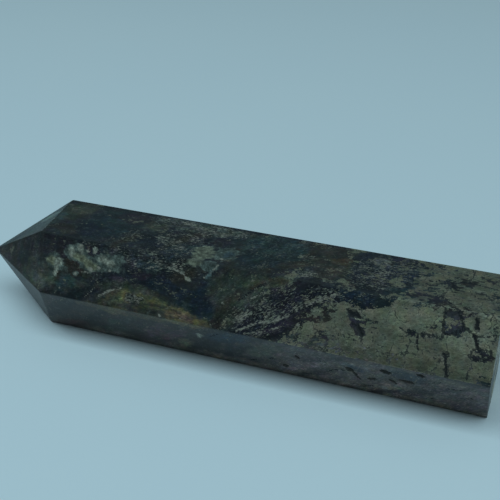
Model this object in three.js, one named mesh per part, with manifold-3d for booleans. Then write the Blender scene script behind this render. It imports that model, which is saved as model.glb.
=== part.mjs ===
// A polished point: one piece of schist full of pyrite, ground to six sides, brought to a six-sided
// tip and cut flat at the other end. It lies on one of its sides.
// Millimetres, +Z up. The tip points along -X and the flat end faces +X.

import * as THREE from "three";
import { ConvexGeometry } from "three/addons/geometries/ConvexGeometry.js";
import { mergeVertices } from "three/addons/utils/BufferGeometryUtils.js";
import Module from "manifold-3d";

// Driving dimensions
const LENGTH = 90; // from the tip to the flat end
const HEIGHT = 18.5; // from the side it lies on to the side on top
const TIP_HEIGHT = 9.3; // the tip stands nearly at mid-height
const EDGE_RADIUS = 0.45; // the grinding leaves the edges this soft
const PIT_DEPTH = 0.45; // how far the holes in the polish go in
const EDGE_STEPS = 3; // flats across each rounded edge

// The six long edges in order round the stone. Each has its place across the stone, its height, and
// its shoulder: how far from the tip it ends, where the grinding of the tip begins.
const EDGES = {
  backTop: { y: 6.4, z: HEIGHT, shoulder: 13.4 },
  frontTop: { y: -5.9, z: HEIGHT, shoulder: 14.6 },
  frontMiddle: { y: -10.6, z: 9.5, shoulder: 15.8 },
  frontBottom: { y: -5.6, z: 0, shoulder: 13.9 },
  backBottom: { y: 5.4, z: 0, shoulder: 13.2 },
  backMiddle: { y: 10.6, z: 9.2, shoulder: 12.8 },
};

// Each side runs from one long edge to the next.
const SIDES = {
  top: ["backTop", "frontTop"],
  frontUpper: ["frontTop", "frontMiddle"],
  frontLower: ["frontMiddle", "frontBottom"],
  bottom: ["frontBottom", "backBottom"],
  backLower: ["backBottom", "backMiddle"],
  backUpper: ["backMiddle", "backTop"],
};

// Holes and splits that the polishing opened: the side, the distance from the tip, the distance
// across from the side's first edge, the length and width, and the turn down from the long edge.
const PITS = [
  { side: "top", along: 85.7, across: 6.6, long: 1.9, wide: 0.9, turn: 5 },
  { side: "top", along: 88.1, across: 8.6, long: 1.5, wide: 0.5, turn: 75 },
  { side: "top", along: 44.3, across: 6.1, long: 1.4, wide: 0.7, turn: 60 },
  { side: "frontUpper", along: 68.9, across: 3.5, long: 2.4, wide: 0.8, turn: 20 },
  { side: "frontUpper", along: 70.2, across: 5.8, long: 2.0, wide: 0.6, turn: 48 },
  { side: "frontUpper", along: 82.8, across: 6.9, long: 1.1, wide: 0.9, turn: 0 },
  { side: "frontUpper", along: 83.4, across: 8.6, long: 3.2, wide: 0.35, turn: 72 },
  { side: "frontUpper", along: 78.9, across: 6.0, long: 2.2, wide: 0.3, turn: 78 },
  { side: "frontUpper", along: 86.7, across: 1.9, long: 1.6, wide: 0.6, turn: 80 },
  { side: "frontUpper", along: 87.0, across: 4.2, long: 2.0, wide: 0.45, turn: 65 },
  { side: "frontLower", along: 60.5, across: 3.5, long: 0.9, wide: 0.6, turn: 60 },
  { side: "frontLower", along: 58.1, across: 7.6, long: 1.1, wide: 0.7, turn: 10 },
  { side: "frontLower", along: 68.8, across: 3.9, long: 1.3, wide: 0.7, turn: 20 },
  { side: "frontLower", along: 69.8, across: 5.4, long: 2.6, wide: 0.4, turn: 65 },
  { side: "frontLower", along: 72.4, across: 5.6, long: 1.4, wide: 0.45, turn: -35 },
  { side: "frontLower", along: 74.8, across: 2.3, long: 1.8, wide: 0.8, turn: 15 },
  { side: "frontLower", along: 75.6, across: 4.7, long: 1.5, wide: 0.5, turn: 32 },
  { side: "frontLower", along: 78.0, across: 3.9, long: 2.5, wide: 0.5, turn: -6 },
  { side: "frontLower", along: 79.8, across: 1.0, long: 1.0, wide: 0.6, turn: 30 },
  { side: "backLower", along: 38.0, across: 6.2, long: 2.2, wide: 0.6, turn: 40 },
  { side: "backLower", along: 66.5, across: 4.0, long: 1.6, wide: 0.8, turn: -15 },
  { side: "backUpper", along: 30.5, across: 5.4, long: 1.8, wide: 0.7, turn: 25 },
  { side: "backUpper", along: 57.0, across: 7.1, long: 2.8, wide: 0.4, turn: 60 },
  { side: "backUpper", along: 76.0, across: 3.6, long: 1.7, wide: 0.9, turn: 10 },
];

const TIP = new THREE.Vector3(0, 0, TIP_HEIGHT);
const HEART = new THREE.Vector3(LENGTH / 2, 0, HEIGHT / 2); // a point well inside

// A point on a long edge, at a distance from the tip.
function onEdge(name, along) {
  return new THREE.Vector3(along, EDGES[name].y, EDGES[name].z);
}

// The plane through three points, turned to face out of the stone.
function groundPlane(a, b, c) {
  const plane = new THREE.Plane().setFromCoplanarPoints(a, b, c);
  return plane.distanceToPoint(HEART) > 0 ? plane.negate() : plane;
}

// Every flat that the stone was ground to: six sides, six flats at the tip and the flat end.
function groundPlanes() {
  const planes = [new THREE.Plane(new THREE.Vector3(1, 0, 0), -LENGTH)];
  for (const [first, second] of Object.values(SIDES)) {
    const a = onEdge(first, EDGES[first].shoulder);
    const b = onEdge(second, EDGES[second].shoulder);
    planes.push(groundPlane(a, b, onEdge(first, LENGTH)));
    planes.push(groundPlane(a, b, TIP));
  }
  return planes;
}

// Where three planes meet, or null where they don't.
function meetingPoint(p, q, r) {
  const rows = new THREE.Matrix3().set(
    p.normal.x, p.normal.y, p.normal.z,
    q.normal.x, q.normal.y, q.normal.z,
    r.normal.x, r.normal.y, r.normal.z,
  );
  const nearlyParallel = 1e-6;
  if (Math.abs(rows.determinant()) < nearlyParallel) return null;
  return new THREE.Vector3(-p.constant, -q.constant, -r.constant).applyMatrix3(rows.invert());
}

// The corners that the planes cut out, each with the three planes that meet there.
function cornersOf(planes) {
  const tolerance = 1e-6;
  const corners = [];
  for (let i = 0; i < planes.length; i++) {
    for (let j = i + 1; j < planes.length; j++) {
      for (let k = j + 1; k < planes.length; k++) {
        const point = meetingPoint(planes[i], planes[j], planes[k]);
        if (point && planes.every((plane) => plane.distanceToPoint(point) < tolerance)) {
          corners.push({ point, normals: [planes[i].normal, planes[j].normal, planes[k].normal] });
        }
      }
    }
  }
  return corners;
}

// The stone before its pits: each corner is a small ball's patch between the flats that meet there,
// and the skin stretched over all the patches has flat sides and rounded edges.
function roundedStone() {
  const inner = groundPlanes();
  for (const plane of inner) plane.constant += EDGE_RADIUS;
  const points = [];
  for (const { point, normals } of cornersOf(inner)) {
    for (let i = 0; i <= EDGE_STEPS; i++) {
      for (let j = 0; i + j <= EDGE_STEPS; j++) {
        const outward = new THREE.Vector3()
          .addScaledVector(normals[0], i)
          .addScaledVector(normals[1], j)
          .addScaledVector(normals[2], EDGE_STEPS - i - j)
          .setLength(EDGE_RADIUS);
        points.push(outward.add(point));
      }
    }
  }
  return new ConvexGeometry(points);
}

// The tool that opens one pit: a long ball with an uneven outline, half sunk into its side.
function pitShape({ side, along, across, long, wide, turn }, index) {
  const [first, second] = SIDES[side];
  const start = onEdge(first, along);
  const down = onEdge(second, along).sub(start).normalize();
  const length = new THREE.Vector3(1, 0, 0);
  const inward = new THREE.Vector3().crossVectors(length, down);
  const shape = new THREE.SphereGeometry(1, 14, 8);
  const place = shape.attributes.position;
  const unevenness = 0.16;
  for (let i = 0; i < place.count; i++) {
    const v = new THREE.Vector3().fromBufferAttribute(place, i);
    const swell = 1 + unevenness * Math.sin(4 * v.x + index) * Math.cos(3 * v.y + 2 * index);
    place.setXYZ(i, v.x * swell, v.y * swell, v.z);
  }
  shape.scale(long / 2, wide / 2, PIT_DEPTH);
  shape.rotateZ(THREE.MathUtils.degToRad(turn));
  const centre = start.addScaledVector(down, across);
  shape.applyMatrix4(new THREE.Matrix4().makeBasis(length, down, inward).setPosition(centre));
  return shape;
}

const wasm = await Module();
wasm.setup();

// A closed three.js geometry as a solid that can be cut.
function solidFrom(geometry) {
  const bare = geometry.clone();
  bare.deleteAttribute("normal");
  bare.deleteAttribute("uv");
  const merged = mergeVertices(bare, 1e-5);
  const triVerts = Uint32Array.from(merged.index.array);
  const vertProperties = Float32Array.from(merged.attributes.position.array);
  return new wasm.Manifold(new wasm.Mesh({ numProp: 3, vertProperties, triVerts }));
}

function geometryFrom(solid) {
  const mesh = solid.getMesh();
  const geometry = new THREE.BufferGeometry();
  geometry.setAttribute("position", new THREE.BufferAttribute(mesh.vertProperties, 3));
  geometry.setIndex(new THREE.BufferAttribute(mesh.triVerts, 1));
  return geometry;
}

function polishedPoint() {
  let stone = solidFrom(roundedStone());
  PITS.forEach((pit, index) => {
    stone = stone.subtract(solidFrom(pitShape(pit, index)));
  });
  const geometry = geometryFrom(stone);
  // The origin is under the middle of the stone, on the surface that it lies on.
  geometry.computeBoundingBox();
  const { min, max } = geometry.boundingBox;
  geometry.translate(-(min.x + max.x) / 2, -(min.y + max.y) / 2, -min.z);
  geometry.computeVertexNormals();
  const material = new THREE.MeshStandardMaterial({ color: "#45473f", roughness: 0.34, metalness: 0.45 });
  const mesh = new THREE.Mesh(geometry, material);
  mesh.name = "polished_point";
  return mesh;
}

const specimen = new THREE.Group();
specimen.add(polishedPoint());

export default specimen;
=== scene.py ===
# %% [markdown]
# # A polished point of pyrite in schist
# The object is one piece of dark schist that is full of pyrite. It was ground to six flat sides and
# a six-sided tip, cut square at the other end and polished, and it lies on one of its sides.
# The imported CAD model is loaded first: it is the frame, and its box is kept.

# %% The frame
import itertools
import math
from functools import partial

import bpy
import numpy as np
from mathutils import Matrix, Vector


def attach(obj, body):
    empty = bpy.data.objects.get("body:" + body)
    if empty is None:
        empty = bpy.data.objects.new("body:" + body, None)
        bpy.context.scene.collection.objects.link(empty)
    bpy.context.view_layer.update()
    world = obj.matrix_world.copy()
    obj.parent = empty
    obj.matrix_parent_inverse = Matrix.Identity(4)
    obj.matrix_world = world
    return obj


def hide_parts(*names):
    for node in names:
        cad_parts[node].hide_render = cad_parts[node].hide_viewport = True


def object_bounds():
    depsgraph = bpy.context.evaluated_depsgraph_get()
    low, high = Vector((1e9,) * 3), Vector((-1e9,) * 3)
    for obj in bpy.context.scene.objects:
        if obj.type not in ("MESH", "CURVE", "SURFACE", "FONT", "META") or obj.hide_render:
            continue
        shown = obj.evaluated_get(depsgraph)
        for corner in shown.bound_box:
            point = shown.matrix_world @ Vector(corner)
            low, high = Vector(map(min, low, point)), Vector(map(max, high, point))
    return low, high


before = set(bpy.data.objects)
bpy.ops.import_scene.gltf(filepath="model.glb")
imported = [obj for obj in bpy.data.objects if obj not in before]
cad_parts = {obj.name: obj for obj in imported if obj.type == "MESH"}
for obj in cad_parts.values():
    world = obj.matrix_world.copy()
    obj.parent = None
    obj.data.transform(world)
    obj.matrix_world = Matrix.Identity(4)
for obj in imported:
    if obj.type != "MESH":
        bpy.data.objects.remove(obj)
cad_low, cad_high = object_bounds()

MM = 0.001
flat_end = cad_high[0] / MM  # where the square cut is, along X
print("CAD box in mm:", [round(float(side) / MM, 2) for side in cad_high - cad_low])

# %% [markdown]
# The camera looks down at the front of the stone from close by, a little from the flat end's side,
# so the tip points left and the stone runs off to the right. The place, the turn and the lens are
# the ones that put the tip, the ridges and the flat end's edge where a photograph would have them.

# %% The camera
CAMERA_PLACE = (49.2, -121.2, 90.8)  # mm, in the stone's own frame
CAMERA_TURN = math.radians(20.35)  # round the upright axis, away from the straight front view
CAMERA_PITCH = math.radians(29.2)  # below the horizon
CAMERA_LENS = 66.3  # mm, on the default 36 mm sensor

camera = bpy.data.objects.new("camera", bpy.data.cameras.new("camera"))
bpy.context.scene.collection.objects.link(camera)
camera.data.lens = CAMERA_LENS
camera.data.clip_start = 0.005
camera.location = Vector(CAMERA_PLACE) * MM
camera.rotation_euler = (math.pi / 2 - CAMERA_PITCH, 0, CAMERA_TURN)
bpy.context.scene.camera = camera

# %% [markdown]
# Light on polished stone is mostly what the stone mirrors. A dim, even world stands for the walls
# of a room, and keeps the pyrite from glaring. One soft lamp high above, a little to the front,
# lights the pale floor and leaves the soft dark line under the stone. Both are as cool as daylight
# through a north window, so the stone's own materials can keep their true, warmer colours.

# %% Daylight and floor
COOL_DAYLIGHT = (0.66, 1.0, 1.157)
ROOM_BRIGHTNESS = 0.14
LAMP_POWER = 4.85  # W
LAMP_LENGTH = 1400  # mm, along the stone
LAMP_WIDTH = 380  # mm
LAMP_DISTANCE = 800  # mm
LAMP_HEIGHT_ANGLE = math.radians(75)  # above the horizon, on the camera's side

scene = bpy.context.scene
scene.view_settings.view_transform = "Standard"

world = bpy.data.worlds.new("dim room")
world.use_nodes = True
background = world.node_tree.nodes["Background"]
background.inputs["Color"].default_value = (*COOL_DAYLIGHT, 1)
background.inputs["Strength"].default_value = ROOM_BRIGHTNESS
scene.world = world

lamp = bpy.data.objects.new("window light", bpy.data.lights.new("window light", "AREA"))
scene.collection.objects.link(lamp)
lamp.data.shape = "RECTANGLE"
lamp.data.size = LAMP_LENGTH * MM
lamp.data.size_y = LAMP_WIDTH * MM
lamp.data.energy = LAMP_POWER
lamp.data.color = COOL_DAYLIGHT
lamp_direction = Vector((0, -math.cos(LAMP_HEIGHT_ANGLE), math.sin(LAMP_HEIGHT_ANGLE)))
lamp.location = lamp_direction * LAMP_DISTANCE * MM
lamp.rotation_euler = lamp_direction.to_track_quat("Z", "Y").to_euler()

# %% [markdown]
# Every material below is built from nodes with one small function. It adds a node, sets its
# options and its sockets, and links what it is given. Colours are written as sRGB hex, and one
# function turns them to the linear values that shaders use.

# %% Helpers for materials
def linear(hex_colour):
    parts = [int(hex_colour[i:i + 2], 16) / 255 for i in (1, 3, 5)]
    return np.array([p / 12.92 if p <= 0.04045 else ((p + 0.055) / 1.055) ** 2.4 for p in parts])


def solid_colour(hex_colour):
    return (*linear(hex_colour), 1)


def new_material(name):
    material = bpy.data.materials.new(name)
    material.use_nodes = True
    material.node_tree.nodes.clear()
    return material


def add_node(material, kind, options, *values, output=0, **sockets):
    """Adds a node and gives back one of its outputs. Values go to its sockets in order, or by name:
    a_b is the socket "A B", and in_6 is the seventh one. A value is a number, a colour, or another
    node's output, which is linked."""
    node = material.node_tree.nodes.new(kind)
    for key, value in options.items():
        setattr(node, key, value)
    in_order = {f"in_{place}": value for place, value in enumerate(values)}
    for key, value in {**in_order, **sockets}.items():
        if key.startswith("in_"):
            socket = node.inputs[int(key[3:])]
        else:
            socket = node.inputs[key.replace("_", " ")]
        if isinstance(value, bpy.types.NodeSocket):
            material.node_tree.links.new(value, socket)
        else:
            socket.default_value = value
    return node.outputs[output] if node.outputs else None


# The kinds of nodes and the options that are used many times, under short names
MATH, VECTOR, MIX = "ShaderNodeMath", "ShaderNodeVectorMath", "ShaderNodeMix"
RANGE, NOISE, PAINTED = "ShaderNodeMapRange", "ShaderNodeTexNoise", "ShaderNodeAttribute"
ADD, SUBTRACT, MULTIPLY = ({"operation": name} for name in ("ADD", "SUBTRACT", "MULTIPLY"))
MULTIPLY_ADD, MAXIMUM, SCALE = ({"operation": name} for name in ("MULTIPLY_ADD", "MAXIMUM", "SCALE"))
SMOOTH = {"interpolation_type": "SMOOTHSTEP"}
COLOURS = {"data_type": "RGBA"}
MIXED = 2  # which output of a mix node is the colour


# %% [markdown]
# The floor is a pale smooth board that just fills the picture. A plane without an end would do, but
# then the tip's polished facets would mirror it and turn pale. So the board ends, and it is set
# askew: past its rim the facets mirror the dim room, as they would on a small table. A faint
# cloudiness and a very fine tooth in its surface keep it from looking like a drawn background.

# %% The floor
BOARD_SIZE = (215, 350)  # mm
BOARD_CORNER = (-34, 60)  # mm to the right of the camera and in front of it
BOARD_TURN = math.radians(13.3)  # anticlockwise from the way the camera looks
BOARD_PAINT, BOARD_CLOUDS = "#e7e7e5", "#e2e4e5"
CLOUD_SIZE = 1000 / 9  # mm, so about two clouds across the board
TOOTH_SIZE = 0.4  # mm
TOOTH_HEIGHT = 0.0001  # m


def heading(turn):
    return np.array([-math.sin(turn), math.cos(turn)])


board_ahead = heading(CAMERA_TURN + BOARD_TURN)
board_right = heading(CAMERA_TURN + BOARD_TURN - math.pi / 2)
board_corner = (np.array(CAMERA_PLACE[:2]) + BOARD_CORNER[0] * heading(CAMERA_TURN - math.pi / 2)
                + BOARD_CORNER[1] * heading(CAMERA_TURN))
board_corners = [board_corner + right * board_right + far * board_ahead
                 for right, far in ((0, 0), (BOARD_SIZE[0], 0), BOARD_SIZE, (0, BOARD_SIZE[1]))]
floor_mesh = bpy.data.meshes.new("floor")
floor_mesh.from_pydata([(x * MM, y * MM, 0) for x, y in board_corners], [], [(0, 1, 2, 3)])
floor = bpy.data.objects.new("floor", floor_mesh)
scene.collection.objects.link(floor)

pale_board = new_material("pale painted board")
on_board = partial(add_node, pale_board)
board_place = on_board("ShaderNodeTexCoord", {}, output="Object")
cloudiness = on_board(NOISE, {}, Vector=board_place, Scale=1 / (CLOUD_SIZE * MM), Detail=2.0)
board_colour = on_board(MIX, COLOURS, cloudiness, in_6=solid_colour(BOARD_PAINT),
                        in_7=solid_colour(BOARD_CLOUDS), output=MIXED)
tooth = on_board(NOISE, {}, Vector=board_place, Scale=1 / (TOOTH_SIZE * MM))
tooth_bump = on_board("ShaderNodeBump", {}, Strength=0.05, Distance=TOOTH_HEIGHT, Height=tooth)
paint = on_board("ShaderNodeBsdfPrincipled", {}, Base_Color=board_colour, Roughness=0.6, Normal=tooth_bump)
on_board("ShaderNodeOutputMaterial", {}, Surface=paint)
floor_mesh.materials.append(pale_board)

# %% [markdown]
# ## The ground form
# The stone is a bar with six long edges. Each long edge ends at its own shoulder, where the
# grinding of the tip begins, and straight ridges run from the shoulders to the tip. Lengths along
# the stone are counted from the sharp tip, as a grinder would mark them, in millimetres.
# The form could be a cylinder with six sides, but the sides are unequal and the shoulders slant, so
# it is written as six edges, each with its place, its height and its shoulder.

# %% The six long edges
LENGTH = 90.0
HEIGHT = cad_high[2] / MM
TIP_HEIGHT = 9.3
#         place across, height, shoulder
EDGES = {
    "back top": (6.4, HEIGHT, 13.4),
    "front top": (-5.9, HEIGHT, 14.6),
    "front middle": (-10.6, 9.5, 15.8),
    "front bottom": (-5.6, 0.0, 13.9),
    "back bottom": (5.4, 0.0, 13.2),
    "back middle": (10.6, 9.2, 12.8),
}
SIDES = ("top", "upper", "lower", "bottom", "back lower", "back upper")  # each starts at its edge

edge_table = np.array(list(EDGES.values()))
corners = edge_table[:, :2]
shoulders = edge_table[:, 2]
side_widths = np.linalg.norm(np.roll(corners, -1, axis=0) - corners, axis=1)
side_starts = np.concatenate([[0], np.cumsum(side_widths)[:-1]])
girth = side_widths.sum()
tip = np.array([0.0, 0.0, TIP_HEIGHT])
print("sides in mm:", dict(zip(SIDES, side_widths.round(1))), "girth", round(girth, 1))

# %% [markdown]
# ## A fine net over the form
# The polish shows pits and the edges of grains a quarter of a millimetre wide, so the surface needs
# points that close. A subdivided cube would waste them. Instead rings of points run round the
# stone, one column of points for each step round it, from the tip to the middle of the flat end.
# Columns follow the ridges exactly, and three more stand close beside each ridge, where the surface
# turns.

# %% Columns round the stone and rows along it
SPACING = 0.285  # mm between points
FACET_SLANT = 1.2  # a tip facet is about this much longer than its length along the stone
BESIDE_RIDGE = (0.0, 0.035, 0.09, 0.18)  # mm from a ridge, where points stand close


def steps_between_ridges(width, first=True, last=True):
    """Places from 0 to 1 over `width` mm, close together where there is a ridge at 0 or at 1. The
    place at 1 is left out."""
    start = np.array(BESIDE_RIDGE if first else [0.0])
    end = width - (np.array(BESIDE_RIDGE[:0:-1]) if last else np.array([]))
    inner_end = end[0] if last else width
    count = round((inner_end - start[-1]) / SPACING)
    inner = np.linspace(start[-1], inner_end, count + 1)[1:-1]
    return np.concatenate([start, inner, end]) / width


column_side = []
column_share = []
for side, width in enumerate(side_widths):
    shares = steps_between_ridges(width)
    column_side.append(np.full(len(shares), side))
    column_share.append(shares)
column_side = np.concatenate(column_side)
column_share = np.concatenate(column_share)
next_side = (column_side + 1) % len(SIDES)
column_corner = corners[column_side] + column_share[:, None] * (corners[next_side] - corners[column_side])
column_shoulder = shoulders[column_side] + column_share * (shoulders[next_side] - shoulders[column_side])
column_across = side_starts[column_side] + column_share * side_widths[column_side]
columns = len(column_side)

tip_rows = steps_between_ridges(shoulders.mean() * FACET_SLANT, first=False)[1:]
side_rows = steps_between_ridges(LENGTH - shoulders.mean())
end_rows = steps_between_ridges(HEIGHT / 2, last=False)
print(columns, "columns,", len(tip_rows) + len(side_rows) + len(end_rows), "rows")

# %% [markdown]
# Each ring is worked out from the sharp form. On the tip a ring is part of the way from the tip to
# the shoulders, on the sides it is part of the way from the shoulders to the flat end, and on the
# flat end it shrinks to the middle.

# %% Rings of points
shoulder_points = np.column_stack([column_shoulder, column_corner])
end_points = np.column_stack([np.full(columns, LENGTH), column_corner])
end_middle = np.array([LENGTH, 0.0, HEIGHT / 2])

rings = [tip + row * (shoulder_points - tip) for row in tip_rows]
rings += [shoulder_points + row * (end_points - shoulder_points) for row in side_rows]
rings += [end_points + row * (end_middle - end_points) for row in end_rows]
sharp_net = np.concatenate([[tip], np.concatenate(rings), [end_middle]])
ring_of = np.repeat(np.arange(len(rings)), columns)
on_tip = np.concatenate([[True], ring_of < len(tip_rows), [False]])
on_end = np.concatenate([[False], ring_of >= len(tip_rows) + len(side_rows), [True]])

# How wide the stone is at a ring, as a share of its full width
ring_share = np.concatenate([tip_rows, np.ones(len(side_rows)), 1 - end_rows])
share = np.concatenate([[0], np.repeat(ring_share, columns), [0]])
around = np.concatenate([[0], np.tile(column_across, len(rings)), [0]])
side_of = np.concatenate([[0], np.tile(column_side, len(rings)), [0]])
print(len(sharp_net), "points")

# %% [markdown]
# ## Soft edges
# Grinding and tumbling leave no edge quite sharp. A bevel modifier would add faces only where the
# form has an edge, but this net has no edges of its own. So each point is drawn in to a rounded
# surface: the distances to all the ground flats are blended by a soft maximum, which equals the
# nearest flat far from an edge and rounds off where two flats are equally near.

# %% Draw the net in to soft edges
SOFTNESS = 0.05  # mm, how near two flats must be for their edge to round
ROUNDS = 4  # how often the points are drawn in, each time closer to the surface


def ground_flats():
    """The outward direction and the distance of the 13 flats, as rows."""
    heart = np.array([LENGTH / 2, 0, HEIGHT / 2])
    flats = [(1.0, 0.0, 0.0, LENGTH)]
    for first in range(len(SIDES)):
        second = (first + 1) % len(SIDES)
        a = np.array([shoulders[first], *corners[first]])
        b = np.array([shoulders[second], *corners[second]])
        for c in (a + (1, 0, 0), tip):
            outward = np.cross(b - a, c - a)
            outward /= np.linalg.norm(outward)
            if outward @ (heart - a) > 0:
                outward = -outward
            flats.append((*outward, outward @ a))
    return np.array(flats)


FLATS = ground_flats()


def to_surface(points):
    """How far each point is outside the rounded form, and the way out from it."""
    heights = (points @ FLATS[:, :3].T - FLATS[:, 3]) / SOFTNESS
    highest = heights.max(axis=1, keepdims=True)
    weights = np.exp(heights - highest)
    total = weights.sum(axis=1, keepdims=True)
    distance = SOFTNESS * (highest + np.log(total))[:, 0]
    outward = (weights / total) @ FLATS[:, :3]
    return distance, outward


net = sharp_net
for _ in range(ROUNDS):
    distance, outward = to_surface(net)
    net = net - (distance / (outward ** 2).sum(axis=1))[:, None] * outward
outward /= np.linalg.norm(outward, axis=1, keepdims=True)
two_nearest = np.sort(net @ FLATS[:, :3].T - FLATS[:, 3], axis=1)[:, -2:]
edge_gap = two_nearest[:, 1] - two_nearest[:, 0]  # 0 on an edge, more away from it
print("drawn in by up to", round(float(np.abs(net - sharp_net).max()), 2), "mm")

# %% [markdown]
# ## Places on the stone
# The marks in the rock are named by side, by millimetres from the tip and by millimetres down from
# the side's upper edge. `across` unrolls the sides into one strip, so a patch can run over a ridge
# as it does in a real stone, where the ridge only cuts through it.

# %% Every point's place on the unrolled stone
along = net[:, 0].copy()
side_middle = side_starts[side_of] + side_widths[side_of] / 2
across = side_middle + (around - side_middle) * np.where(on_tip, share, 1.0)

# %% [markdown]
# Rock has no straight outlines. A table of random numbers, blended between the corners of a cube
# lattice, gives values that vary smoothly over a chosen number of millimetres in all directions,
# so a pattern made from them goes round every edge without a seam.

# %% Smooth randomness inside the rock
TABLE_SIZE = 4096


def rock_noise(points, size, seed):
    """Smooth random values from -1 to 1 that change over about `size` millimetres."""
    table = np.random.default_rng(seed).uniform(-1, 1, TABLE_SIZE)
    cell = np.floor(points / size).astype(np.int64)
    inside = points / size - cell
    inside = inside * inside * (3 - 2 * inside)
    total = np.zeros(len(points))
    for corner in itertools.product((0, 1), repeat=3):
        at = cell + corner
        slot = (at[:, 0] * 73856093 ^ at[:, 1] * 19349663 ^ at[:, 2] * 83492791) % TABLE_SIZE
        total += np.where(corner, inside, 1 - inside).prod(axis=1) * table[slot]
    return total


def rough_noise(points, size, seed, layers=3):
    """Rock noise with finer and weaker layers on top."""
    values = sum(rock_noise(points, size / 2 ** n, seed + n) / 2 ** n for n in range(layers))
    return values / sum(1 / 2 ** n for n in range(layers))


# Schist is built of thin layers, all lying one way. These are the layers' flats in this stone:
# they rise towards the flat end on the front, so marks follow that slant.
LAYER_NORMAL = np.array([-0.55, 0.506, 0.668])
LAYER_NORMAL /= np.linalg.norm(LAYER_NORMAL)
LAYER_RUN = np.cross(LAYER_NORMAL, (0, 1, 0))
LAYER_RUN /= np.linalg.norm(LAYER_RUN)
LAYER_DIP = np.cross(LAYER_NORMAL, LAYER_RUN)
LAYERS = np.array([LAYER_RUN, LAYER_DIP, LAYER_NORMAL])


def in_layers(points, flattening):
    """Places measured along the layers, and squeezed across them, so noise there looks layered."""
    return points @ LAYERS.T * (1, 1, flattening)


# %% [markdown]
# The layers aren't flat. On the sides in front they run level near the tip, bend over the golden
# band like a fold, climb steeply past the middle and level out again, and on the lower side they
# slant down at about 45 degrees. `layer` counts across the layers, so noise that changes with it
# draws them. They could be modelled as bent sheets, but only their traces on the polish show.

# %% How the layers bend
#        from the tip, rise
CLIMB = [(14, 0.1), (26, 0.15), (44, 0.25), (48, 0.75), (58, 0.65), (66, 0.25), (90, 0.1)]
FOLD_PLACE, FOLD_REACH, FOLD_HEIGHT = 35, 7, 2.6  # mm: from the tip, along each way, up
LOWER_RATES = (0.8, 0.75)  # on the lower side, how fast the count grows per mm down and along

steps = np.linspace(0, LENGTH, 361)
climb = np.interp(steps, *zip(*CLIMB))
climbed = np.concatenate([[0], np.cumsum((climb[1:] + climb[:-1]) / 2 * np.diff(steps))])
low_on_upper = np.clip((across - side_starts[1] - 2) / 8, 0, 1)
fold = FOLD_HEIGHT * np.exp(-((along - FOLD_PLACE) / FOLD_REACH) ** 2) * low_on_upper
front_layer = across + np.interp(along, steps, climbed) + fold
below_ridge = (across > side_starts[2]) & (across < side_starts[3])
lower_layer = LOWER_RATES[0] * across + LOWER_RATES[1] * along
front_layer = np.where(below_ridge, lower_layer, front_layer)
in_front = across <= side_starts[3]
layer = np.where(in_front, front_layer, net @ LAYER_NORMAL) + 0.5 * rough_noise(net, 4.0, 181)

in_layer = np.column_stack([layer * 1.7, along * 0.55, net[:, 1] * 0.55])
ragged = rough_noise(in_layer, 0.9, 191, layers=3)
wander_along = 0.5 * rough_noise(net, 2.2, 11) + 0.35 * rough_noise(net, 0.8, 21)
wander_across = 0.5 * rough_noise(net, 2.2, 31) + 0.35 * rough_noise(net, 0.8, 41)

# %% [markdown]
# ## Painting tools
# A `patch` is an oval of rock with a wandering outline: 1 inside, 0 outside. A `line` is the
# distance to a bent line, which serves both for dark seams and for thin light veins. Each is a
# value at every point of the net, and the shader later breaks its edge up into single grains.

# %% Patches and lines
def smooth_step(low, high, values):
    share = np.clip((values - low) / (high - low), 0, 1)
    return share * share * (3 - 2 * share)


def down_from(side, down):
    return side_starts[SIDES.index(side)] + down


def patch(side, from_tip, down, long, wide, turn=0, edge=0.5, raggedness=0.55):
    """An oval mark. `turn` is in degrees, downwards from the long edge, and `edge` is how much of
    the oval is its fading rim. The rim is broken up along the layers."""
    dx = along - from_tip + wander_along
    dv = (across - down_from(side, down) + girth / 2) % girth - girth / 2 + wander_across
    angle = math.radians(turn)
    major = dx * math.cos(angle) + dv * math.sin(angle)
    minor = dv * math.cos(angle) - dx * math.sin(angle)
    radius = np.hypot(major / (long / 2), minor / (wide / 2))
    inside = 1 - smooth_step(1 - edge, 1 + edge, radius)
    broken = smooth_step(0.25, 0.75, inside + raggedness * ragged * (inside > 0))
    return np.where(on_end, 0, broken)


def line_distance(side, points, waver=0.3):
    """Millimetres to a bent line through points (from_tip, down)."""
    x = along + waver * wander_along
    v = across + waver * wander_across
    nearest = np.full(len(net), np.inf)
    for (x0, d0), (x1, d1) in zip(points, points[1:]):
        v0, v1 = down_from(side, d0), down_from(side, d1)
        length = math.hypot(x1 - x0, v1 - v0)
        ux, uv = (x1 - x0) / length, (v1 - v0) / length
        dv = (v - v0 + girth / 2) % girth - girth / 2
        step = np.clip((x - x0) * ux + dv * uv, 0, length)
        nearest = np.minimum(nearest, np.hypot(x - x0 - step * ux, dv - step * uv))
    return np.where(on_end, np.inf, nearest)


# %% [markdown]
# ## The rock itself
# Before any mark is painted the whole stone gets its ground: dark slate-grey schist in thin
# layers, with clouds of blue, plum and umber where other minerals tint it, and pyrite that grows
# richer towards the flat end. The hidden sides keep this ground, so they belong to the same rock.

# %% The ground of the whole stone
SLATE, NAVY, TEAL = "#232425", "#15181f", "#1d2526"
PLUM, UMBER, OLIVE = "#272126", "#2a231c", "#2f2e24"
GOLD, RUST, ASH = "#665b3c", "#4c3826", "#45433f"
MILK, SEA, STRAW = "#858172", "#4e524b", "#716d57"

rock = np.tile(linear(SLATE), (len(net), 1))
vein = np.tile(linear(SEA), (len(net), 1))
pyrite = np.zeros(len(net))
flecks = np.zeros(len(net))
quartz = np.zeros(len(net))
shine = np.ones(len(net))  # how bright the pyrite is, against its own mean


def tint(mask, colour, where=rock):
    where += mask[:, None] * (linear(colour) - where)


def fill(field, mask, value):
    field += mask * (value - field)


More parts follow.
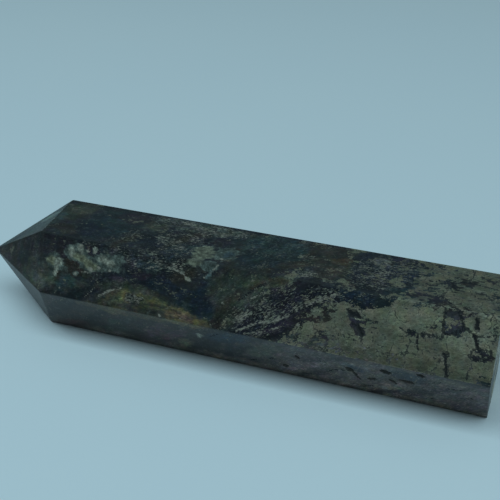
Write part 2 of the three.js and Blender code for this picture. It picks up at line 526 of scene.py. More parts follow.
layered = in_layers(net, 2.5)
for seed, colour in ((101, NAVY), (111, PLUM), (121, UMBER), (131, TEAL)):
    tint(smooth_step(0.05, 0.45, rough_noise(layered, 7.0, seed)), colour)
richness = smooth_step(38, 62, along - 4 * LAYERS[2, 2] * rough_noise(layered, 9.0, 141))
veined = rough_noise(layered, 5.0, 151)
fill(pyrite, smooth_step(-0.45, 0.25, veined) * richness, 0.85)
fill(pyrite, smooth_step(0.25, 0.5, veined) * (1 - richness), 0.4)
fill(flecks, smooth_step(-0.1, 0.4, rough_noise(layered, 4.0, 161)), 0.35)

# %% [markdown]
# ## Marks
# The three sides that face the camera are painted mark by mark. A mark is a colour or an amount,
# where it is (millimetres from the tip, and down from the side's upper edge), how long and wide it
# is, and its turn. Seams and pale threads are half a width and the points of a bent line, and a
# glint is a place and a size. The top side runs from grey-green and blue-black schist through a pale
# grainy stretch, a rounded patch of green quartz that the ridge cuts through, and brown schist, to a
# sheet of pyrite.

# %% The top side
TOP = {
    "tints": [
        ("#3a4440", 9, 6, 14, 12, 0), ("#20282a", 6, 7, 6, 2, -20), ("#67736a", 11.4, 4.4, 4.4, 1.8, -10),
        (OLIVE, 17, 3, 6, 5, 0), (OLIVE, 17, 5.5, 3.5, 4, 50), (UMBER, 18, 10, 6, 3, 10),
        (TEAL, 24, 6, 9, 10, 30), (NAVY, 22, 9, 5, 5, 0), (PLUM, 28, 2.5, 7, 4, 0),
        (OLIVE, 32, 3.5, 5, 4, -20), ("#373834", 38, 2, 16, 4, 0), (NAVY, 33, 8.5, 5, 3, -10),
        (PLUM, 40, 6.5, 2.5, 2.5, 0), (PLUM, 44.2, 5.5, 3, 3, 0), ("#242e2d", 53, 5, 11, 10, 0),
        (TEAL, 52, 9, 7, 4, 0), ("#312a22", 57.3, 8.5, 2.2, 5, 60), ("#332c24", 63, 5, 6, 12, 0),
        (RUST, 64.5, 4.5, 2, 4, 70), (NAVY, 68.5, 6, 5, 12, 0), (ASH, 70.5, 3, 3, 3, 0),
        (PLUM, 74, 1.2, 5, 2.4, 0), (NAVY, 75.3, 2.2, 3, 2, 0), (NAVY, 72.5, 6, 8, 7, 20),
        # The last tint on the next line, a thin blue-black strip along the whole back edge of the top, is
        # painted shade: the dark line at that edge.
        (PLUM, 79, 10.5, 6, 2.6, 0), (NAVY, 79.5, 1.5, 5, 3, 0), (NAVY, 56, 0, 92, 1.3, 0),
    ],
    "pyrite": [
        (0.0, 30, 6, 34, 14, 0), (0.0, 50, 6, 18, 16, 0), (0.05, 62, 6, 9, 14, 0),
        (0.08, 71, 6, 14, 14, 0), (0.4, 77.5, 3.8, 4, 4, 0), (0.85, 74, 8, 2.4, 2.8, 0),
        (0.6, 79.6, 6.8, 6, 6, 0), (0.68, 87, 6.5, 13, 14, 0), (0.25, 79, 10.8, 6, 2.4, 0),
        (0.2, 74.5, 2, 5, 3.4, 0), (0.4, 83, 5.5, 3, 4, 0),
    ],
    "flecks": [
        (0.0, 21, 6, 14, 14, 0), (0.5, 29.5, 8.5, 4, 5, 0), (0.7, 38, 8, 9, 8, 20),
        (0.7, 39, 2, 19, 5, 0), (0.35, 53, 5, 9, 8, 0), (0.6, 57, 2, 3, 3, 0),
        (0.7, 59, 5.6, 3.2, 2.4, 0), (0.8, 60, 10, 4, 3, 0), (0.6, 69, 6, 6, 11, 20),
        (0.7, 73.5, 6, 6, 11, 20), (0.4, 80, 3.5, 6, 6, 0),
    ],
    "quartz": [
        ("#5e5c4c", 42.8, 10, 4, 4.6, 0), ("#434740", 46.4, 8.8, 3.6, 4.6, 10),
        ("#323a3c", 46.6, 9, 1.6, 2.4, 0), ("#666a60", 45.4, 10.8, 1.2, 1.2, 0),
    ],
    "seams": [
        (0.2, [(82, 4.6), (85, 4.4), (88.6, 5)]), (0.18, [(84.2, 0.6), (84.4, 2), (84, 4.3)]),
        (0.22, [(81.6, 5), (82.2, 7), (83.8, 7.2)]), (0.16, [(84.5, 7), (86, 8.3), (88, 8)]),
        (0.12, [(76.4, 5.2), (78.6, 6), (81, 4.6)]), (0.2, [(81.4, 7.6), (80.8, 9.4), (82.4, 11)]),
    ],
    "glints": [(68.5, 3.2, 0.35), (46.2, 10.6, 0.4), (13.9, 7.3, 0.3), (34.6, 9.6, 0.3), (49.6, 5.2, 0.2)],
}

# %% [markdown]
# The upper front side faces the camera most. Milky quartz with a little straw yellow lies near the
# tip, over teal patches. Below it a golden band follows the lower ridge under a thin curved vein,
# with blue-black schist between. From the middle on, flecked layers slant up to the right, and the
# last third is a broad sheet of pyrite with dark inclusions and cracks. `shine` says how bright the
# pyrite is, because grains that lie another way mirror less light.

# %% The upper front side
UPPER = {
    "tints": [
        ("#433f3b", 7, 5, 16, 16, 0), ("#282c2c", 10, 5, 4, 3, 0), (PLUM, 11, 2.5, 5, 3, 30),
        ("#55503f", 13.4, 7, 5, 3.4, 20), ("#3a3a33", 12.5, 7, 5, 4, 0), (PLUM, 17, 2, 7, 4, 0),
        (UMBER, 20.6, 5, 3, 3, 0), ("#2b3633", 20.5, 8, 4.4, 3, 0), ("#3b3c30", 23.4, 8.8, 3.4, 3, 0),
        ("#4a4a42", 15.8, 7.2, 5, 5, 0), (UMBER, 22.5, 5.6, 5, 2, 0), ("#3b3a34", 23.4, 8.2, 3.4, 3, -40),
        (NAVY, 26, 7.6, 7, 2.2, -45), (NAVY, 29.6, 5.3, 8, 2.4, -22), ("#241e25", 29, 5.8, 3.6, 1.4, -20),
        ("#2a2029", 34, 4, 3, 1.2, -10), (OLIVE, 33, 7.6, 14, 4, 0), (GOLD, 30.6, 8.8, 8.6, 3.4, -22),
        ("#605839", 36, 8.9, 12, 3.2, 8), (GOLD, 41.5, 9.4, 10, 2.6, 8),
        ("#5a4a35", 41.6, 9.3, 4, 1.2, 0), ("#3c3b33", 33.4, 6.4, 3.6, 1.8, 0),
        ("#1c1d20", 33, 8.1, 4.4, 1.4, 5), ("#182029", 38.4, 5.3, 8, 2.6, 12),
        ("#19212b", 44.8, 6.2, 4.6, 5.4, 10), (TEAL, 34.5, 2.4, 4, 2, 0), (SLATE, 38.5, 1.2, 6, 2, 0),
        ("#393b32", 50, 3.4, 10, 6, -25), (UMBER, 49.5, 5, 6, 1.4, -45), (OLIVE, 49, 7.6, 4, 3, -40),
        ("#464535", 54.6, 1.6, 8, 1.8, -20), ("#3b3026", 53, 2.4, 3, 0.7, -40),
        ("#3b3026", 56.4, 0.8, 4, 0.8, -10), ("#15121a", 56.4, 7, 16, 6, -35),
        ("#17141a", 61.4, 3, 7, 3, -35), ("#261e29", 57.6, 7.8, 5, 1.6, -28),
        ("#261e29", 60, 2.6, 4, 1, -30), (UMBER, 48, 9.4, 2.6, 1.4, 0), ("#15151b", 65, 1.4, 12, 3, 0),
        ("#18222a", 68.6, 1.2, 5.4, 2.6, 0), ("#2b2625", 65.6, 8.8, 4.6, 1.8, 0),
        ("#393638", 83.6, 2.2, 4, 4, 0), ("#2b262b", 69.4, 4.8, 4, 3, 40),
    ],
    "pyrite": [
        (0.0, 32, 5, 42, 14, 0), (0.0, 51, 2, 16, 7, 0), (0.05, 55, 6, 14, 10, -20),
        (0.05, 59.6, 2.8, 12, 6, -30), (0.5, 61.4, 9, 5, 3.4, -40), (0.88, 65.8, 6.8, 8.6, 6, -20),
        (0.5, 64.6, 4.4, 4.6, 2, -30), (0.35, 60.8, 5.4, 2.4, 2, -50), (0.9, 70.6, 2.9, 4, 1.8, 0),
        (0.97, 75, 7.4, 14, 6.6, 0), (0.95, 76.5, 2.4, 10, 4, 0), (1.0, 85.5, 6, 12, 9, 0),
        (0.95, 88, 2, 6, 5, 0), (0.6, 75, 0.4, 8, 1.4, 0), (0.12, 66.5, 1.0, 13, 2.8, 0),
        (0.35, 83.4, 2, 3.6, 4, 0), (0.1, 68.8, 3.7, 2.8, 1.2, 20), (0.1, 69.8, 5.6, 3.2, 1.6, 40),
        (0.4, 65.6, 8.8, 4.6, 1.8, 0), (0.5, 79.4, 4.6, 5, 1.2, 0), (0.45, 87.8, 6, 3.4, 2.2, 0),
        (0.8, 87.4, 8.8, 3.4, 2.4, 0),
    ],
    "shine": [
        (0.92, 66, 7, 10, 6, 0), (0.85, 77, 8, 26, 6, 0), (0.68, 78, 10, 28, 3.4, 0),
        (1.15, 76.5, 2.4, 11, 3, 0), (1.22, 86, 4, 7, 5, 0),
    ],
    "flecks": [
        (0.1, 20, 5, 12, 14, 0), (0.35, 28, 5.8, 7, 3, 0), (0.6, 36, 1.2, 16, 3.4, 0),
        (0.5, 27, 0.8, 12, 1.6, 0), (0.9, 33, 8, 4.4, 1.6, 5), (0.75, 32.4, 2.2, 2.6, 2, 0),
        (0.7, 39, 1.6, 7, 2.4, 0), (0.1, 39, 6.4, 14, 3.4, 0), (0.12, 50, 3, 12, 6, -20),
        (0.6, 55.4, 6.4, 14, 6, -35), (0.95, 51.8, 6.8, 3.2, 2.4, -30), (0.95, 57.4, 5.6, 6.4, 2.2, -35),
        (0.85, 60.8, 3.4, 6, 2.4, -40), (0.75, 64, 1.6, 10, 3, -20), (0.7, 54, 8.8, 8, 1.4, -25),
        (0.15, 57.6, 7.6, 4.6, 1.2, -28), (0.5, 68.4, 0.8, 6, 1.6, 0),
    ],
    "quartz": [
        (SEA, 17.6, 4.6, 4.6, 2.8, 15), (STRAW, 17.0, 4.4, 2.6, 1.4, 0), (MILK, 18.6, 4.4, 1.5, 1.4, 0),
        (MILK, 18.4, 5.8, 0.9, 1.7, 0), (SEA, 21.6, 2.4, 4.6, 2.8, 10), (SEA, 25.4, 3.6, 8.6, 2.9, 0),
        (SEA, 28.2, 2.8, 4, 2, -10), (MILK, 20.7, 2.5, 1.4, 1.5, 0), (MILK, 22.4, 1.9, 1.3, 1.1, 0),
        (MILK, 24.8, 1.7, 1, 1, 0), (STRAW, 22.4, 3.2, 2.8, 1.3, 10), (STRAW, 24.6, 4, 3, 1.4, 10),
        (MILK, 24.6, 4.6, 1.1, 0.8, 0), (MILK, 26.6, 3, 1.7, 1.1, 0), (MILK, 27.9, 3.2, 1.7, 1.2, 20),
        (SEA, 21.9, 5.9, 1.1, 0.9, 0), ("#666454", 42.6, 0.1, 3, 1.5, 0),
        ("#4a4f49", 45, 0.4, 2.6, 1.8, 0), (STRAW, 41.8, 3.3, 1, 0.5, 0), (MILK, 40.6, 2.3, 0.8, 0.6, 0),
        ("#4b5553", 45, 2, 1.8, 0.7, -50),
    ],
    "seams": [
        (0.16, [(50.6, 5), (52, 3.7), (53.4, 2.3), (54.6, 1.7)]),
        (0.22, [(67.8, 3), (68.8, 3.7), (70.2, 3.9)]), (0.12, [(68.6, 4.8), (69.6, 5.4), (70.7, 6.4)]),
        (0.18, [(78.7, 4.8), (78.7, 6), (79.1, 7)]), (0.22, [(78.6, 4.6), (80.4, 4.4), (82, 4.8)]),
        (0.26, [(82, 0.4), (82, 2.4), (82.2, 4.4)]), (0.2, [(82.4, 4), (83.6, 3.6), (85, 2.7)]),
        (0.22, [(83.9, 0.5), (85, 2.4), (86.4, 3.2), (87, 4.2), (87.5, 5.2)]),
        (0.28, [(86.6, 0.8), (86.8, 2.2)]), (0.2, [(86.8, 3.5), (88.4, 3.1), (90, 2.7)]),
        (0.2, [(86.2, 6.6), (86.6, 5.4), (88, 5), (89.4, 5.2), (89, 6.2), (87.4, 6.8), (86.2, 6.6)]),
        (0.2, [(82.8, 6.8), (83.2, 8), (83.8, 9.8)]), (0.12, [(75.6, 4.2), (77, 4.8), (77.8, 4.6)]),
        (0.1, [(72, 5.6), (72.3, 7)]), (0.1, [(81, 7.4), (81.6, 7.8)]),
        (0.12, [(86.4, 8.8), (86.6, 9.8)]),
    ],
    "threads": [
        (0.1, [(26.4, 9.1), (27.4, 8.2), (28.6, 7.5), (30.5, 6.7)]),
        (0.02, [(24, 9.6), (25.4, 8), (26.4, 6.6)]),
        (0.08, [(34.3, 2.9), (35.6, 2.3), (37.5, 1.9), (39, 2), (40.6, 2.4), (41.5, 3.2)]),
        (0.12, [(51, 9.6), (54, 7.9), (57, 6.9), (59, 5.8)]), (0.08, [(61.5, 3.8), (64, 2), (66, 1.1)]),
        (0.06, [(52.4, 9.9), (55, 9), (58, 7.6)]), (0.08, [(44.2, 2.6), (45.6, 1.2), (46.4, 0.2)]),
        (0.04, [(49.8, 6.6), (52, 4.6), (54.6, 3)]), (0.02, [(22.4, 5.6), (25.2, 5)]),
    ],
    "glints": [
        (24.8, 1.8, 0.45), (22.2, 1.3, 0.5), (20.6, 3.1, 0.35), (24.6, 4.6, 0.4), (26, 4.3, 0.35),
        (21.8, 5.9, 0.45), (19.4, 8.7, 0.3), (23.5, 1.9, 0.3), (18.4, 6.2, 0.3), (28, 4.4, 0.3),
        (38.8, 1.4, 0.3), (38.2, 2, 0.35), (32.3, 2.6, 0.4), (40.6, 2.4, 0.4), (41.8, 3.3, 0.4),
        (48, 5.8, 0.3), (37.8, 9.9, 0.35), (41.5, 9.7, 0.25), (33, 7.6, 0.25), (52, 6.9, 0.45),
        (60.6, 6.9, 0.3),
    ],
}

# %% [markdown]
# The lower front side leans over the floor and mirrors it, so its marks look veiled. It is slate
# with slanting streaks of plum, brown and blue, a few pale patches, and slit-like pits and seams
# towards the flat end. It has no shining pyrite.

# %% The lower front side
LOWER = {
    "tints": [
        # The third tint on the next line, a lighter band the whole length of the bottom edge, is painted
        # light: it keeps the bottom of the side from turning dark where it mirrors the floor in the
        # stone's shadow.
        ("#2e2b29", 30, 5, 40, 14, 0), ("#524a48", 72, 5, 44, 14, 0), ("#5b524b", 58, 10.4, 96, 4.2, 0),
        ("#10171a", 19, 3, 16, 3, -45), ("#15191c", 24, 5.5, 14, 1.6, -45),
        ("#3a2626", 18, 9.4, 9, 2.6, -20), ("#4a412d", 31, 1, 18, 2.2, 0),
        ("#303733", 28.5, 6, 9, 3, -45), ("#3e3135", 35.6, 5.4, 10, 3, -45),
        ("#443338", 39, 5.4, 8, 2, -45), ("#322d2c", 33, 9.4, 9, 2, -10), (GOLD, 42, 0.6, 7, 1.4, 0),
        (RUST, 43.6, 1.2, 3, 0.8, -30), ("#5d5a48", 40.8, 8, 2.6, 5, 15),
        ("#15171b", 45.6, 5, 14, 2.6, -45), ("#1a2a36", 49.4, 2.2, 9, 3, -20),
        ("#15171b", 50, 6.4, 9, 1.6, -45), ("#4b4d42", 55, 4, 8, 3, -40),
        ("#64585a", 60, 7, 10, 2.6, -35), ("#2e2a2e", 62.5, 8.6, 8, 1.4, -35),
        ("#302c30", 66, 2, 10, 1.2, -30), ("#665c54", 73, 7.6, 12, 2.6, -20),
        ("#302c30", 74, 9.4, 10, 1.2, -30), ("#222e38", 77.6, 2.2, 6, 2.6, 0),
        ("#222e38", 70, 3.4, 3, 1.4, 20), ("#322e33", 82, 5.4, 13, 1.8, -35),
        ("#61564f", 84, 2, 6, 2, -10), ("#4b4247", 87, 8, 6, 3, -30),
    ],
    "pyrite": [(0.0, 34, 6, 60, 12, 0), (0.0, 76, 6.5, 44, 12, 0)],
    "flecks": [(0.1, 34, 6, 60, 14, 0), (0.42, 76, 6.5, 44, 14, 0), (0.5, 44, 1, 6, 2, 0)],
    "quartz": [("#6a6a5e", 44.4, 3.6, 2, 1.2, -35)],
    "seams": [
        (0.05, [(76, 4.6), (78, 3.6), (80.6, 3.4), (83, 1.8)]),
        (0.1, [(65.6, 6), (66.6, 5.2), (68.6, 4.4)]), (0.08, [(52, 8.4), (53.2, 7.6)]),
        (0.1, [(55.4, 6.4), (56.4, 5.8)]), (0.1, [(61, 9), (62.4, 8.6)]),
        (0.08, [(64.4, 3.4), (65.4, 3.2)]), (0.1, [(84, 3.4), (86, 3)]), (0.08, [(85.6, 5.8), (87.6, 5)]),
        (0.08, [(71, 8.6), (73, 7.8)]), (0.06, [(46, 3), (48, 1.4)]), (0.08, [(80.6, 8.6), (82, 7.8)]),
    ],
    "glints": [],
}

# %% [markdown]
# One loop lays all the marks on. Later marks cover earlier ones, and quartz is a tint that is also
# noted as quartz, because the shader gives it a clearer gloss and none of the schist's layering.

# %% Lay the marks on
MARKED = {"top": TOP, "upper": UPPER, "lower": LOWER}
GONE = 9.0  # mm, a distance that counts as nowhere near
seam_gap = np.full(len(net), GONE)
pale_gap = np.full(len(net), GONE)

for side, marks in MARKED.items():
    for colour, *place in marks["tints"]:
        tint(0.85 * patch(side, *place), colour)
    for amount, *place in marks["pyrite"]:
        fill(pyrite, patch(side, *place), amount)
    for amount, *place in marks["flecks"]:
        fill(flecks, patch(side, *place), amount)
    for amount, *place in marks.get("shine", []):
        fill(shine, patch(side, *place), amount)
    for colour, *place in marks["quartz"]:
        mask = patch(side, *place, edge=0.7)
        tint(mask, colour, vein)
        fill(quartz, mask, 1.0)
        fill(pyrite, mask, 0.0)
        fill(flecks, mask, 0.0)
    for half_width, points in marks["seams"]:
        seam_gap = np.minimum(seam_gap, line_distance(side, points) - half_width)
    for half_width, points in marks.get("threads", []):
        pale_gap = np.minimum(pale_gap, line_distance(side, points) - half_width)
    for from_tip, down, size in marks["glints"]:
        spot = line_distance(side, [(from_tip, down), (from_tip + 0.1, down)]) - size / 2
        pale_gap = np.minimum(pale_gap, spot)
pyrite[below_ridge] = 0.0  # also where the marks of the side above run over the ridge
print("pyrite over the whole surface:", round(float(pyrite.mean()), 2))

# %% [markdown]
# ## Pits and relief
# Polishing tears out soft grains and opens splits, and hard pyrite stays a hair prouder than the
# schist round it. These are real hollows, so they are moved into the net. The shader also paints
# the pits' floors near black and their rims dark, which is painted shade in the hollows. The pits
# are the ones that the CAD solid has too, only shallower.

# %% Pits and relief
PIT_DEPTH = 0.25  # mm
SEAM_DEPTH = 0.03  # mm
PROUD = 0.012  # mm, pyrite above schist
RIPPLE = 0.003  # mm, what the polishing wheel leaves
#       side, from the tip, down, length, width, turn
PITS = [
    ("top", 85.7, 6.6, 1.9, 0.9, 5), ("top", 88.1, 8.6, 1.5, 0.5, 75), ("top", 44.3, 6.1, 1.4, 0.7, 60),
    ("upper", 68.9, 3.5, 2.4, 0.8, 20), ("upper", 70.2, 5.8, 2.0, 0.6, 48),
    ("upper", 82.8, 6.9, 1.1, 0.9, 0), ("upper", 83.4, 8.6, 3.2, 0.35, 72),
    ("upper", 78.9, 6.0, 2.2, 0.3, 78), ("upper", 86.7, 1.9, 1.6, 0.6, 80),
    ("upper", 87.0, 4.2, 2.0, 0.45, 65), ("lower", 60.5, 3.5, 0.9, 0.6, 60),
    ("lower", 58.1, 7.6, 1.1, 0.7, 10), ("lower", 68.8, 3.9, 1.3, 0.7, 20),
    ("lower", 69.8, 5.4, 2.6, 0.4, 65), ("lower", 72.4, 5.6, 1.4, 0.45, -35),
    ("lower", 74.8, 2.3, 1.8, 0.8, 15), ("lower", 75.6, 4.7, 1.5, 0.5, 32),
    ("lower", 78.0, 3.9, 2.5, 0.5, -6), ("lower", 79.8, 1.0, 1.0, 0.6, 30),
    ("back lower", 38.0, 6.2, 2.2, 0.6, 40), ("back lower", 66.5, 4.0, 1.6, 0.8, -15),
    ("back upper", 30.5, 5.4, 1.8, 0.7, 25), ("back upper", 57.0, 7.1, 2.8, 0.4, 60),
    ("back upper", 76.0, 3.6, 1.7, 0.9, 10),
]

pits = np.zeros(len(net))
for side, *place in PITS:
    pits = np.maximum(pits, patch(side, *place, edge=0.35, raggedness=0.2))
relief = -PIT_DEPTH * pits
relief -= SEAM_DEPTH * (1 - smooth_step(-0.1, 0.2, seam_gap)) * (1 - pits)
relief -= PROUD * (1 - pyrite) * (1 - quartz)
relief += RIPPLE * rough_noise(net, 1.4, 171)
surface = net + relief[:, None] * outward
surface[:, 2] = np.maximum(surface[:, 2], 0)
print("deepest pit", round(float(-relief.min()), 2), "mm")

# %% [markdown]
# ## One mesh
# The net is joined up into quads, with a fan at the tip and one in the middle of the flat end. What
# was painted goes with it as attributes of its points, which the shader reads by name.

# %% Build the mesh
ring = np.arange(columns)
next_in_ring = (ring + 1) % columns
ring_starts = 1 + columns * np.arange(len(rings))[:, None]
here, there = ring_starts[:-1], ring_starts[1:]
quads = np.stack([here + ring, here + next_in_ring, there + next_in_ring, there + ring], axis=-1)
quads = quads.reshape(-1, 4)
last = len(net) - 1
tip_fan = np.column_stack([np.zeros(columns, int), 1 + next_in_ring, 1 + ring])
end_fan = np.column_stack([np.full(columns, last), ring_starts[-1] + ring, ring_starts[-1] + next_in_ring])

in_frame = surface + (flat_end - LENGTH, 0, 0)
stone_mesh = bpy.data.meshes.new("polished_stone")
stone_mesh.from_pydata((in_frame * MM).tolist(), [], quads.tolist() + tip_fan.tolist() + end_fan.tolist())
stone_mesh.polygons.foreach_set("use_smooth", [True] * len(stone_mesh.polygons))
print(len(stone_mesh.vertices), "points,", 2 * len(quads) + 2 * columns, "triangles")


def keep_on_points(name, values, kind="FLOAT"):
    attribute = stone_mesh.attributes.new(name, kind, "POINT")
    if kind == "FLOAT":
        attribute.data.foreach_set("value", values.astype(np.float32))
    else:
        colours = np.column_stack([values, np.ones(len(values))])
        attribute.data.foreach_set("color", colours.astype(np.float32).ravel())


keep_on_points("rock", rock, "FLOAT_COLOR")
keep_on_points("vein", vein, "FLOAT_COLOR")
high_up = smooth_step(11, 16, net[:, 2])  # the edges on top are dulled and get a painted dark line of shade
AMOUNTS = {
    "layer": layer,
    "pyrite": pyrite,
    "flecks": flecks,
    "quartz": quartz,
    "shine": shine,
    "seam_gap": np.clip(seam_gap, -1, 2),
    "pale_gap": np.clip(pale_gap, -1, 2),
    "pits": pits,
    "worn_edge": high_up * (1 - smooth_step(0.04, 0.2, edge_gap)),
}
for name, values in AMOUNTS.items():
    keep_on_points(name, values)

stone = bpy.data.objects.new("polished_stone", stone_mesh)
scene.collection.objects.link(stone)

# %% [markdown]
# ## The polish
# The material is one piece of rock, so it is one material: polished schist with pyrite and quartz
# in it. It breaks the painted amounts up into grains and layers with noise. A picture wrapped round
# the stone could do that, but noise runs through the rock as its minerals do, with no seam at an
# edge. Noise that follows the layers has four dimensions: the fourth is the layer.

# %% What was painted, and the rock's own noises
polished_rock = new_material("polished schist with pyrite and quartz")
in_rock = partial(add_node, polished_rock)

painted = {name: in_rock(PAINTED, {"attribute_name": name}, output="Fac") for name in AMOUNTS}
rock_colour = in_rock(PAINTED, {"attribute_name": "rock"}, output="Color")
vein_colour = in_rock(PAINTED, {"attribute_name": "vein"}, output="Color")
place_m = in_rock("ShaderNodeTexCoord", {}, output="Object")
place = in_rock(VECTOR, SCALE, place_m, Scale=1 / MM)


def layered_noise(long, thick, detail=3.0, roughness=0.6):
    """Noise that changes over `long` mm in space, and besides over a count of `thick` across the
    layers."""
    fourth = in_rock(MATH, MULTIPLY, painted["layer"], long / thick)
    return in_rock(NOISE, {"noise_dimensions": "4D"}, Vector=place, W=fourth,
                   Scale=1 / long, Detail=detail, Roughness=roughness)


clump = layered_noise(2.1, 3.57, detail=6.0, roughness=0.72)
grain = layered_noise(0.8, 0.48, roughness=0.75)
streak = layered_noise(5.0, 3.0, detail=4.0, roughness=0.65)
cluster = layered_noise(3.0, 2.7)
speck = layered_noise(0.5, 0.15, detail=2.0, roughness=0.7)
fine = in_rock(NOISE, {}, Vector=place, Scale=1 / 0.3, Detail=2.0, Roughness=0.6)
cloud = in_rock(NOISE, {}, Vector=place, Scale=1 / 2.6, Detail=3.0, Roughness=0.6)

# %% [markdown]
# Pyrite grows in clumps, so clumpy noise decides between it and schist. Where the painted amount is
# high only a few spots stay dark, and where it is low only a few shine. Quartz is decided the same
# way. Flecks are the bright tips of a much finer noise, and the tips are of all brightnesses.

# %% Which spot is pyrite, quartz or a fleck
clump_share = in_rock(MATH, MULTIPLY, in_rock(RANGE, SMOOTH, clump, 0.3, 0.7), 0.6)
grain_share = in_rock(MATH, MULTIPLY, in_rock(RANGE, SMOOTH, grain, 0.3, 0.7), 0.4)
chance = in_rock(RANGE, SMOOTH, in_rock(MATH, ADD, clump_share, grain_share), 0.15, 0.85)
is_pyrite = in_rock(RANGE, SMOOTH, in_rock(MATH, SUBTRACT, painted["pyrite"], chance), -0.06, 0.08)

crystals = in_rock(NOISE, {}, Vector=place, Scale=1 / 0.9, Detail=4.0, Roughness=0.7)
quartz_chance = in_rock(MATH, MULTIPLY_ADD, in_rock(RANGE, SMOOTH, crystals, 0.3, 0.7), 0.8, 0.1)
quartz_lead = in_rock(MATH, SUBTRACT, painted["quartz"], quartz_chance)
is_quartz = in_rock(RANGE, SMOOTH, quartz_lead, -0.4, 0.35)

crowd = in_rock(MATH, MULTIPLY, painted["flecks"], in_rock(RANGE, SMOOTH, cluster, 0.35, 0.65, 0.3, 1.0))
fleck = in_rock(RANGE, SMOOTH, in_rock(MATH, MULTIPLY_ADD, crowd, 0.3, speck), 0.67, 0.79)
pale_level = in_rock(MATH, ADD, painted["pale_gap"], in_rock(MATH, SUBTRACT, grain, 0.5))
pale = in_rock(RANGE, SMOOTH, pale_level, 0.12, -0.08, 0.0, 0.85)

# %% [markdown]
# Seams, pits and cracks are all dark; in the pits that dark is painted shade in the hollows. Noise
# frays the rims of the painted seams and pits. The finest cracks split the pyrite into blocks, as
# the walls between bent cells do, and show only here and there. They could be painted one by one,
# but there are too many, and none stands out.

# %% Which spot is a seam, a pit or a crack
CRACK_SWAY = (2.2, 2.2, 2.2)  # mm
BLOCKS_TO_MM = 0.36  # so a block is about 2.8 mm wide

fraying = in_rock(MATH, MULTIPLY_ADD, fine, 0.8, -0.4)
seam_level = in_rock(MATH, ADD, painted["seam_gap"], fraying)
seam = in_rock(RANGE, SMOOTH, seam_level, 0.09, -0.05)
# A pit's floor is painted near black, as painted shade in the hollow.
pit_floor_shade = in_rock(RANGE, SMOOTH, in_rock(MATH, ADD, grain, painted["pits"]), 1.35, 1.65)

sway = in_rock(NOISE, {}, Vector=place, Scale=1 / 1.5, Detail=3.0, Roughness=0.6, output="Color")
bent_place = in_rock(VECTOR, MULTIPLY_ADD, sway, CRACK_SWAY, place)
to_wall = in_rock("ShaderNodeTexVoronoi", {"feature": "DISTANCE_TO_EDGE"},
                  Vector=bent_place, Scale=BLOCKS_TO_MM, output="Distance")
wall = in_rock(RANGE, SMOOTH, to_wall, 0.045, 0.012)
cracked_wall = in_rock(MATH, MULTIPLY, wall, in_rock(RANGE, SMOOTH, cloud, 0.44, 0.52))
crack = in_rock(MATH, MULTIPLY, cracked_wall, is_pyrite)
seam_crack_or_pit_shade = in_rock(MATH, MAXIMUM, crack, in_rock(MATH, MAXIMUM, seam, pit_floor_shade))

# %% [markdown]
# Colours. Polished schist is dark and streaky, and its minerals shift its hue from one spot to the
# next. Where it is flecked its grains differ more.

# %% The colour of schist
FLECK_BUFF, FLECK_BRASS = "#98897a", "#8a8672"


def lighten(noise, strength):
    """A factor round 1 that the noise swings, the more the higher the strength."""
    swing = in_rock(MATH, MULTIPLY, in_rock(MATH, SUBTRACT, noise, 0.5), strength)
    return in_rock(MATH, {"operation": "POWER"}, 2.0, swing)


grain_strength = in_rock(MATH, MULTIPLY, in_rock(MATH, MULTIPLY_ADD, painted["flecks"], 1.2, 0.5), 6.0)
grainy = in_rock(MATH, MULTIPLY, lighten(grain, grain_strength), lighten(speck, grain_strength))
schist_light = in_rock(MATH, MULTIPLY, lighten(streak, 5.0), grainy)
tinge = in_rock(NOISE, {}, Vector=place, Scale=1 / 1.6, Detail=4.0, Roughness=0.7, output="Color")
hue = in_rock(VECTOR, MULTIPLY_ADD, tinge, (1.4, 0.9, 1.2), (0.3, 0.55, 0.4))
shaded = in_rock(VECTOR, SCALE, rock_colour, Scale=schist_light)
schist_colour = in_rock(VECTOR, MULTIPLY, shaded, hue)
fleck_colour = in_rock(MIX, COLOURS, in_rock(RANGE, SMOOTH, clump, 0.4, 0.6),
                       in_6=solid_colour(FLECK_BUFF), in_7=solid_colour(FLECK_BRASS), output=MIXED)
flecked_schist = in_rock(MIX, COLOURS, in_rock(MATH, MULTIPLY, fleck, 0.8),
                         in_6=schist_colour, in_7=fleck_colour, output=MIXED)

# %% [markdown]
# Quartz is a crust of crystals, some milky, some clear enough to look dark. Pyrite is a metal with
# the colour of pale brass, a little tarnished in clouds, and the polish left pinholes in it.

# %% The colours of quartz and pyrite
BRASS, TARNISH, PINHOLE = "#b8ad90", "#9b947e", "#26251f"

crystal = in_rock(NOISE, {}, Vector=place, Scale=1 / 0.8, Detail=3.0, Roughness=0.7)
crystal_light = in_rock(MATH, MULTIPLY, lighten(crystal, 6.0), lighten(fine, 2.0))
quartz_colour = in_rock(VECTOR, SCALE, vein_colour, Scale=crystal_light)

metal_colour = in_rock(MIX, COLOURS, in_rock(RANGE, SMOOTH, cloud, 0.35, 0.65),
                       in_6=solid_colour(TARNISH), in_7=solid_colour(BRASS), output=MIXED)
bloom = in_rock(NOISE, {}, Vector=place, Scale=1 / 2.0, Detail=4.0, Roughness=0.7, output="Color")
metal_hue = in_rock(VECTOR, MULTIPLY_ADD, bloom, (0.6, 0.4, 0.5), (0.72, 0.82, 0.77))
metal_colour = in_rock(VECTOR, MULTIPLY, metal_colour, metal_hue)
metal_grain = in_rock(MATH, MULTIPLY, lighten(grain, 2.2), lighten(speck, 2.4))
metal_light = in_rock(MATH, MULTIPLY, painted["shine"], metal_grain)
metal_colour = in_rock(VECTOR, SCALE, metal_colour, Scale=metal_light)
hole_level = in_rock(MATH, MULTIPLY_ADD, cluster, 0.3, fine)
pinholes = in_rock(RANGE, SMOOTH, hole_level, 0.48, 0.58, 1.0, 0.0)
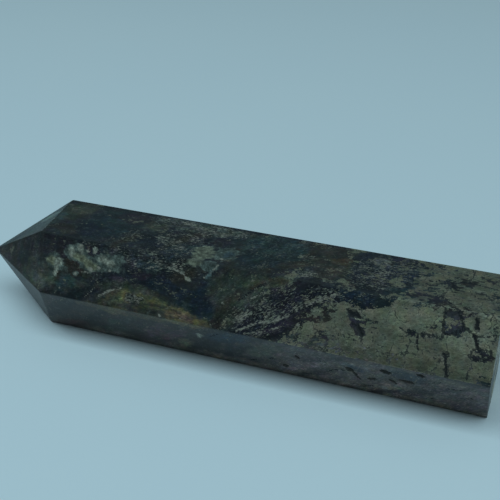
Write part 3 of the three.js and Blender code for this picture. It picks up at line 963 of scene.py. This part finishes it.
pyrite_colour = in_rock(MIX, COLOURS, in_rock(MATH, MULTIPLY, pinholes, 0.8),
                        in_6=metal_colour, in_7=solid_colour(PINHOLE), output=MIXED)

# %% [markdown]
# The layers of colour go over one another: pyrite over schist, quartz over both, the pale threads
# and glints over those. The top edges and the rims of pits are dull and painted dark, a painted
# shade line along the edges and round the hollows, and the seams and the floors of pits are nearly
# black; on the floors of pits that black is painted shade.

# %% All minerals together
THREAD, EDGE_SHADE, BLACK = "#958a7b", "#2b2a26", "#141416"

# The top edges and the rims of pits get a painted dark line of shade.
pit_rim_shade = in_rock(RANGE, SMOOTH, painted["pits"], 0.02, 0.2, 0.0, 0.75)
edge_and_rim_shade = in_rock(MATH, MAXIMUM, in_rock(MATH, MULTIPLY, painted["worn_edge"], 0.6), pit_rim_shade)
base_colour = flecked_schist
for share, over in (
    (is_pyrite, pyrite_colour),
    (is_quartz, quartz_colour),
    (pale, solid_colour(THREAD)),
    (edge_and_rim_shade, solid_colour(EDGE_SHADE)),
    (in_rock(MATH, MULTIPLY, seam_crack_or_pit_shade, 0.92), solid_colour(BLACK)),
):
    base_colour = in_rock(MIX, COLOURS, share, in_6=base_colour, in_7=over, output=MIXED)

# %% [markdown]
# Gloss. All of it took a polish, the quartz the best, and the soft schist less. Only pyrite is
# metallic, and not on the dulled top edges and pit rims, nor where it is cracked or full of
# pinholes. The bump is the last bit of relief: single grains, too fine for the mesh.

# %% Gloss, metal and fine relief
SCHIST_ROUGHNESS, QUARTZ_ROUGHNESS = 0.36, 0.2
ROCK_IOR = 1.4  # quartz and mica are near 1.55, and a worn polish mirrors less
GRAIN_HEIGHT = 0.00002  # m

dull = in_rock(MATH, MAXIMUM, painted["worn_edge"], in_rock(RANGE, SMOOTH, painted["pits"], 0.02, 0.2))
covered = in_rock(MATH, MAXIMUM, in_rock(MATH, MAXIMUM, seam_crack_or_pit_shade, pale), dull)
bare_pyrite = in_rock(MATH, MULTIPLY, is_pyrite, in_rock(MATH, SUBTRACT, 1.0, is_quartz))
metal = in_rock(MATH, MULTIPLY, bare_pyrite, in_rock(MATH, SUBTRACT, 1.0, covered))
metal = in_rock(MATH, MULTIPLY, metal, in_rock(MATH, MULTIPLY_ADD, pinholes, -0.8, 1.0))

gloss = in_rock(MIX, {"data_type": "FLOAT"}, is_quartz, in_2=SCHIST_ROUGHNESS, in_3=QUARTZ_ROUGHNESS)
streaky_gloss = in_rock(MATH, MULTIPLY, in_rock(RANGE, SMOOTH, streak, 0.3, 0.7), 0.06)
dulling = in_rock(MATH, MULTIPLY, in_rock(MATH, MAXIMUM, seam_crack_or_pit_shade, dull), 0.5)
roughness = in_rock(MATH, {"operation": "ADD", "use_clamp": True},
                    in_rock(MATH, ADD, gloss, streaky_gloss), dulling)

grain_relief = in_rock(MATH, MULTIPLY, fine, 0.3)
height = in_rock(MATH, ADD, in_rock(MATH, MULTIPLY, is_pyrite, 0.5), grain_relief)
height = in_rock(MATH, SUBTRACT, height, seam_crack_or_pit_shade)
bump = in_rock("ShaderNodeBump", {}, Strength=0.3, Distance=GRAIN_HEIGHT, Height=height)

polish = in_rock("ShaderNodeBsdfPrincipled", {}, Base_Color=base_colour, Metallic=metal,
                 Roughness=roughness, IOR=ROCK_IOR, Normal=bump)
in_rock("ShaderNodeOutputMaterial", {}, Surface=polish)
stone_mesh.materials.append(polished_rock)
print(len(polished_rock.node_tree.nodes), "nodes in the rock's material")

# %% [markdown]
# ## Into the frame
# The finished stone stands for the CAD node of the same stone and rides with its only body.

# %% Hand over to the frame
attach(stone, "root")
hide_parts("polished_point")
